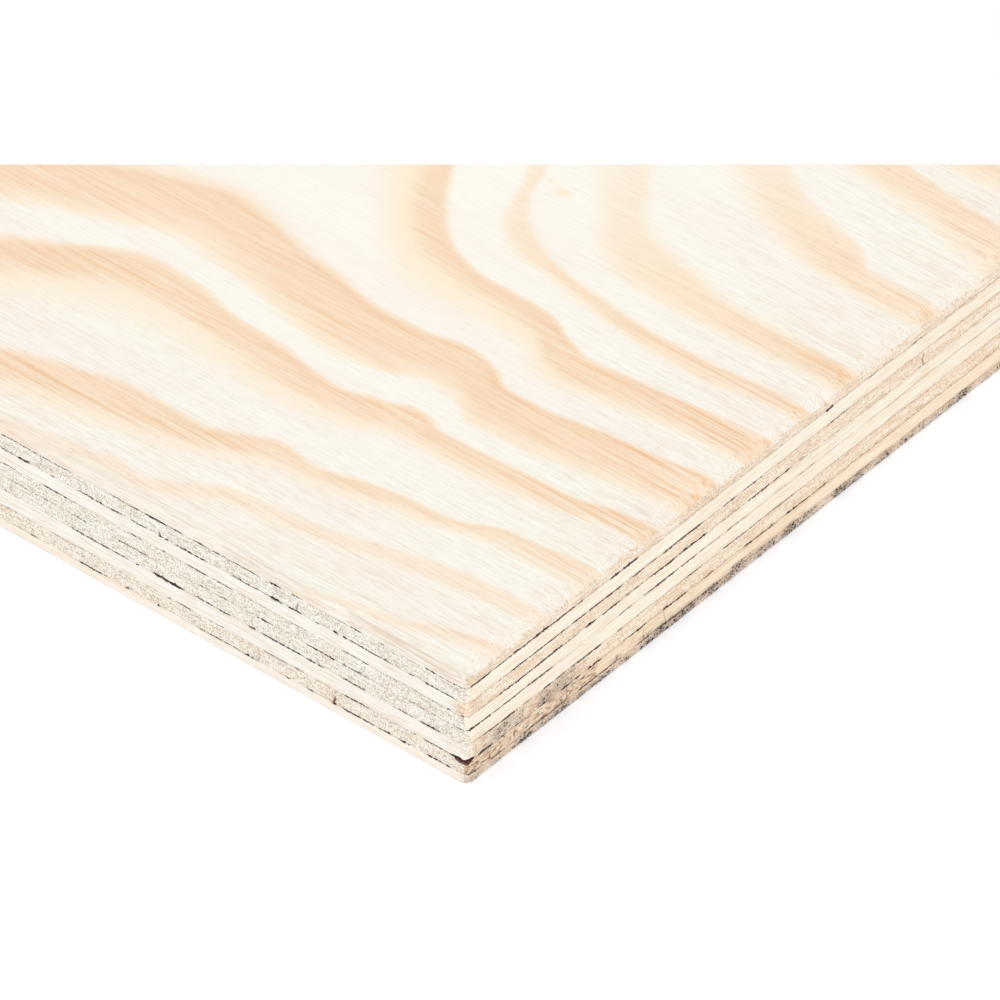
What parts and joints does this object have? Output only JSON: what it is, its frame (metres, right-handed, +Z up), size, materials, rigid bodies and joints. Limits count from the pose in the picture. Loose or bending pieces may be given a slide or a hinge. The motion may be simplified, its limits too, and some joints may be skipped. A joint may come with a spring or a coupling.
{
  "type": "plywood sheet",
  "caption": "Flat rectangular sheet of softwood plywood, cross-laminated veneers with dark glue lines on the sawn edges, for floors, walls, roofs and joinery.",
  "frame": {"origin": "middle of the underside of the sheet", "axes": "+Z up through the thickness, X along the length and the face grain, Y across the width"},
  "size_m": [1.22, 0.61, 0.018],
  "materials": {
    "face_wood": "matte",
    "long_ply_wood": "matte",
    "cross_ply_wood": "matte"
  },
  "bodies": {
    "root": {"face_veneer": "face_wood", "upper_crossband": "cross_ply_wood", "upper_inner_ply": "long_ply_wood", "upper_centre_ply": "cross_ply_wood", "lower_centre_ply": "cross_ply_wood", "lower_inner_ply": "long_ply_wood", "lower_crossband": "cross_ply_wood", "back_veneer": "face_wood"}
  },
  "joints": []
}
